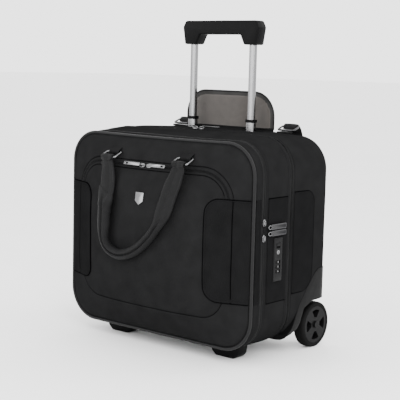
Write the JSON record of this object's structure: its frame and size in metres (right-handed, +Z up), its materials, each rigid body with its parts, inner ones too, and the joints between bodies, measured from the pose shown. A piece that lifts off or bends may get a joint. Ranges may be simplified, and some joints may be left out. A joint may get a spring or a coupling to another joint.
{
  "type": "rolling laptop case",
  "caption": "Soft two-wheeled laptop case with a telescopic trolley grip, a hinged main and rear compartment, a raised front pocket, a combination lock and carry handles.",
  "frame": {"origin": "middle of the base of the bounding box, on the floor under the wheels and feet", "axes": "+Z up, -Y out of the front pocket, +X to the right seen from the front (the lock side)"},
  "size_m": [0.4379, 0.3229, 0.5894],
  "materials": {
    "case_fabric": "fine matt weave",
    "lining": "brushed suede-like lining",
    "board": "matt stiffener board",
    "tyre": "matt rubber",
    "moulded_plastic": "fine moulded texture",
    "steel": "plain zinc-plated",
    "tube_alloy": "anodised satin",
    "strap_fabric": "sewn strap",
    "lock_body": "satin moulded",
    "lock_dial": "satin moulded",
    "zip_tab": "satin coated",
    "chrome": "polished"
  },
  "bodies": {
    "case": {"rear_shell": "case_fabric", "trolley_board": "board", "handle_well": "lining", "trolley_foot": "steel", "outer_tube_left": "steel", "outer_tube_right": "steel", "wheel_housing_left": "moulded_plastic", "wheel_housing_right": "moulded_plastic", "axle_left": "steel", "axle_right": "steel", "rear_ring_tab_left": "strap_fabric", "rear_ring_tab_right": "strap_fabric"},
    "middle": {"middle_frame": "case_fabric", "lining_wall": "lining", "foot_left": "moulded_plastic", "foot_right": "moulded_plastic", "lock_housing": "lock_body", "lock_key_barrel": "chrome"},
    "lid": {"lid_shell": "case_fabric", "pocket_shell": "case_fabric", "badge": "chrome", "front_ring_tab_left": "strap_fabric", "front_ring_tab_right": "strap_fabric"},
    "front_handle": {"front_ring_left": "chrome", "front_ring_right": "chrome", "front_strap_left": "strap_fabric", "front_strap_right": "strap_fabric", "front_handle_grip": "strap_fabric"},
    "rear_handle": {"rear_ring_left": "chrome", "rear_ring_right": "chrome", "rear_strap": "strap_fabric"},
    "wheel_left": {"tyre_left": "tyre", "hub_left": "moulded_plastic"},
    "wheel_right": {"tyre_right": "tyre", "hub_right": "moulded_plastic"},
    "lower_stage": {"lower_tube_left": "tube_alloy", "lower_tube_right": "tube_alloy", "collar_left": "moulded_plastic", "collar_right": "moulded_plastic"},
    "upper_stage": {"upper_tube_left": "tube_alloy", "upper_tube_right": "tube_alloy", "grip": "moulded_plastic"},
    "release_button": {"release_button": "moulded_plastic"},
    "flap": {"flap": "lining"},
    "lock_dial_1": {"lock_dial_1": "lock_dial"},
    "lock_dial_2": {"lock_dial_2": "lock_dial"},
    "lock_dial_3": {"lock_dial_3": "lock_dial"},
    "lock_release": {"lock_release": "moulded_plastic"},
    "pocket_zip_left_slider": {"pocket_zip_left_slider": "chrome"},
    "pocket_zip_left_pull": {"pocket_zip_left_pull": "chrome"},
    "pocket_zip_right_slider": {"pocket_zip_right_slider": "chrome"},
    "pocket_zip_right_pull": {"pocket_zip_right_pull": "chrome"},
    "rear_zip_left_slider": {"rear_zip_left_slider": "chrome"},
    "rear_zip_left_pull": {"rear_zip_left_pull": "chrome"},
    "rear_zip_right_slider": {"rear_zip_right_slider": "chrome"},
    "rear_zip_right_pull": {"rear_zip_right_pull": "chrome"},
    "main_zip_upper_slider": {"main_zip_upper_slider": "chrome"},
    "main_zip_upper_pull": {"main_zip_upper_pull": "zip_tab"},
    "main_zip_lower_slider": {"main_zip_lower_slider": "chrome"},
    "main_zip_lower_pull": {"main_zip_lower_pull": "zip_tab"}
  },
  "joints": [
    {"name": "middle_hinge", "type": "hinge", "parent": "case", "child": "middle", "pos_m": [0, 0.01, 0.027], "axis": [1, 0, 0], "range_deg": [0, 90]},
    {"name": "lid_hinge", "type": "hinge", "parent": "middle", "child": "lid", "pos_m": [0, -0.069, 0.027], "axis": [1, 0, 0], "range_deg": [0, 95]},
    {"name": "front_handle_swing", "type": "hinge", "parent": "lid", "child": "front_handle", "pos_m": [0, -0.1195, 0.349], "axis": [1, 0, 0], "range_deg": [-120, 0]},
    {"name": "rear_handle_swing", "type": "hinge", "parent": "case", "child": "rear_handle", "pos_m": [0, 0.105, 0.3925], "axis": [1, 0, 0], "range_deg": [0, 160]},
    {"name": "wheel_left_spin", "type": "hinge", "parent": "case", "child": "wheel_left", "pos_m": [-0.1905, 0.117, 0.0417], "axis": [1, 0, 0], "continuous": true},
    {"name": "wheel_right_spin", "type": "hinge", "parent": "case", "child": "wheel_right", "pos_m": [0.1905, 0.117, 0.0417], "axis": [1, 0, 0], "continuous": true},
    {"name": "lower_stage_slide", "type": "slide", "parent": "case", "child": "lower_stage", "axis": [0, 0, 1], "range_m": [-0.059, 0.2]},
    {"name": "upper_stage_slide", "type": "slide", "parent": "lower_stage", "child": "upper_stage", "axis": [0, 0, 1], "range_m": [-0.135, 0.12]},
    {"name": "release_button_press", "type": "slide", "parent": "upper_stage", "child": "release_button", "axis": [0, 0, -1], "range_m": [0, 0.0025], "stiffness_N_per_m": 400},
    {"name": "flap_hinge", "type": "hinge", "parent": "case", "child": "flap", "pos_m": [0, 0.099, 0.3925], "axis": [1, 0, 0], "range_deg": [-90, 11]},
    {"name": "lock_dial_1_turn", "type": "hinge", "parent": "middle", "child": "lock_dial_1", "pos_m": [0.2124, -0.03, 0.162], "axis": [0, 0, 1], "continuous": true},
    {"name": "lock_dial_2_turn", "type": "hinge", "parent": "middle", "child": "lock_dial_2", "pos_m": [0.2124, -0.03, 0.17], "axis": [0, 0, 1], "continuous": true},
    {"name": "lock_dial_3_turn", "type": "hinge", "parent": "middle", "child": "lock_dial_3", "pos_m": [0.2124, -0.03, 0.178], "axis": [0, 0, 1], "continuous": true},
    {"name": "lock_release_slide", "type": "slide", "parent": "middle", "child": "lock_release", "axis": [0, 0, -1], "range_m": [0, 0.004], "stiffness_N_per_m": 150},
    {"name": "pocket_zip_left_slide", "type": "slide", "parent": "lid", "child": "pocket_zip_left_slider", "axis": [-1, 0, 0], "range_m": [0, 0.055]},
    {"name": "pocket_zip_left_pull_swing", "type": "hinge", "parent": "pocket_zip_left_slider", "child": "pocket_zip_left_pull", "pos_m": [-0.0115, -0.13349, 0.33246], "axis": [0, 0.4039, 0.9148], "range_deg": [0, 150]},
    {"name": "rear_zip_left_slide", "type": "slide", "parent": "case", "child": "rear_zip_left_slider", "axis": [-1, 0, 0], "range_m": [0, 0.1]},
    {"name": "rear_zip_left_pull_swing", "type": "hinge", "parent": "rear_zip_left_slider", "child": "rear_zip_left_pull", "pos_m": [-0.0115, 0.01, 0.3961], "axis": [0, 1, 0], "range_deg": [0, 150]},
    {"name": "pocket_zip_right_slide", "type": "slide", "parent": "lid", "child": "pocket_zip_right_slider", "axis": [1, 0, 0], "range_m": [0, 0.055]},
    {"name": "pocket_zip_right_pull_swing", "type": "hinge", "parent": "pocket_zip_right_slider", "child": "pocket_zip_right_pull", "pos_m": [0.0115, -0.13349, 0.33246], "axis": [0, -0.4039, -0.9148], "range_deg": [0, 150]},
    {"name": "rear_zip_right_slide", "type": "slide", "parent": "case", "child": "rear_zip_right_slider", "axis": [1, 0, 0], "range_m": [0, 0.1]},
    {"name": "rear_zip_right_pull_swing", "type": "hinge", "parent": "rear_zip_right_slider", "child": "rear_zip_right_pull", "pos_m": [0.0115, 0.01, 0.3961], "axis": [0, -1, 0], "range_deg": [0, 150]},
    {"name": "main_zip_upper_slide", "type": "slide", "parent": "middle", "child": "main_zip_upper_slider", "axis": [0, 0, 1], "range_m": [0, 0.07]},
    {"name": "main_zip_upper_pull_swing", "type": "hinge", "parent": "main_zip_upper_slider", "child": "main_zip_upper_pull", "pos_m": [0.2203, -0.0605, 0.24], "axis": [0, 0, -1], "range_deg": [0, 150]},
    {"name": "main_zip_lower_slide", "type": "slide", "parent": "middle", "child": "main_zip_lower_slider", "axis": [0, 0, -1], "range_m": [0, 0.115]},
    {"name": "main_zip_lower_pull_swing", "type": "hinge", "parent": "main_zip_lower_slider", "child": "main_zip_lower_pull", "pos_m": [0.2203, -0.0605, 0.229], "axis": [0, 0, -1], "range_deg": [0, 150]}
  ]
}
